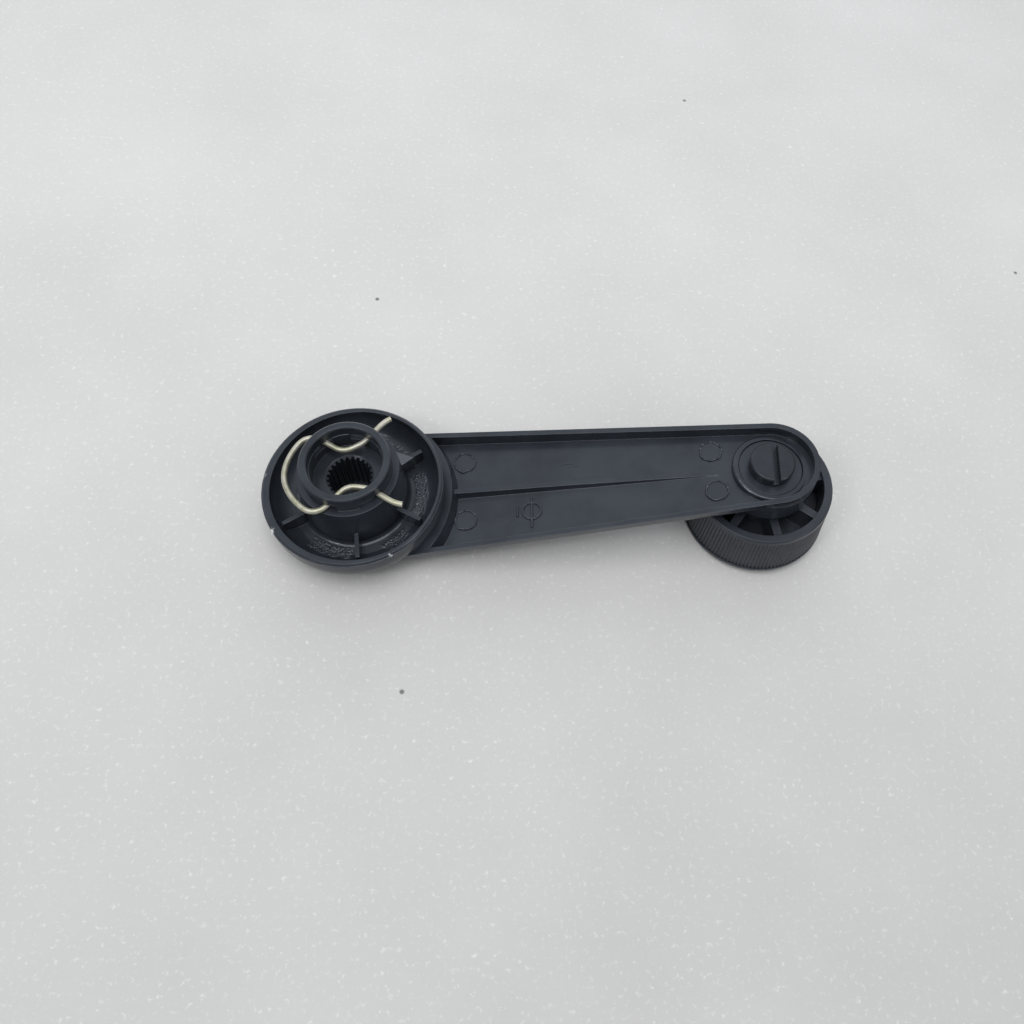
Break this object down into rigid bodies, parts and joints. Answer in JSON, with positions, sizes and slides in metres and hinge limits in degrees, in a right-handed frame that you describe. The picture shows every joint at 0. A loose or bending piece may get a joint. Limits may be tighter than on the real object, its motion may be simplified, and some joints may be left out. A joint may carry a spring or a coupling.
{
  "type": "window crank operator",
  "caption": "Hand crank for a winding window: round hub with a splined socket and wire clip, tapered channel arm and free-turning fluted knob.",
  "frame": {"origin": "on the spline axis, in the plane of the hub's back rim", "axes": "+X along the arm to the knob, +Z along the spline axis out of the back of the hub, towards the regulator shaft"},
  "size_m": [0.1445, 0.045, 0.0333],
  "materials": {
    "arm_plastic": "black, slightly bluish moulded plastic with a soft sheen, grained inside the hub",
    "clip_wire": "drawn spring wire with a pale yellow zinc coat",
    "washer_plastic": "black moulded plastic",
    "pin_black": "black moulded engineering plastic, slightly glossier than the arm",
    "ring_steel": "plain spring steel",
    "knob_plastic": "black moulded plastic, fluted grip",
    "bush_plastic": "natural nylon"
  },
  "bodies": {
    "crank": {"crank_arm": "arm_plastic", "head_washer": "washer_plastic", "knob_pin": "pin_black", "thrust_washer": "washer_plastic", "pin_circlip": "ring_steel"},
    "knob": {"knob_body": "knob_plastic", "knob_bush": "bush_plastic", "knob_cap": "knob_plastic"},
    "clip": {"spring_clip": "clip_wire"}
  },
  "joints": [
    {"name": "knob_spin", "type": "hinge", "parent": "crank", "child": "knob", "pos_m": [0.1035, 0, 0], "axis": [0, 0, 1], "continuous": true},
    {"name": "clip_slide", "type": "slide", "parent": "crank", "child": "clip", "axis": [-0.9903, -0.1392, 0], "range_m": [0, 0.003]}
  ]
}
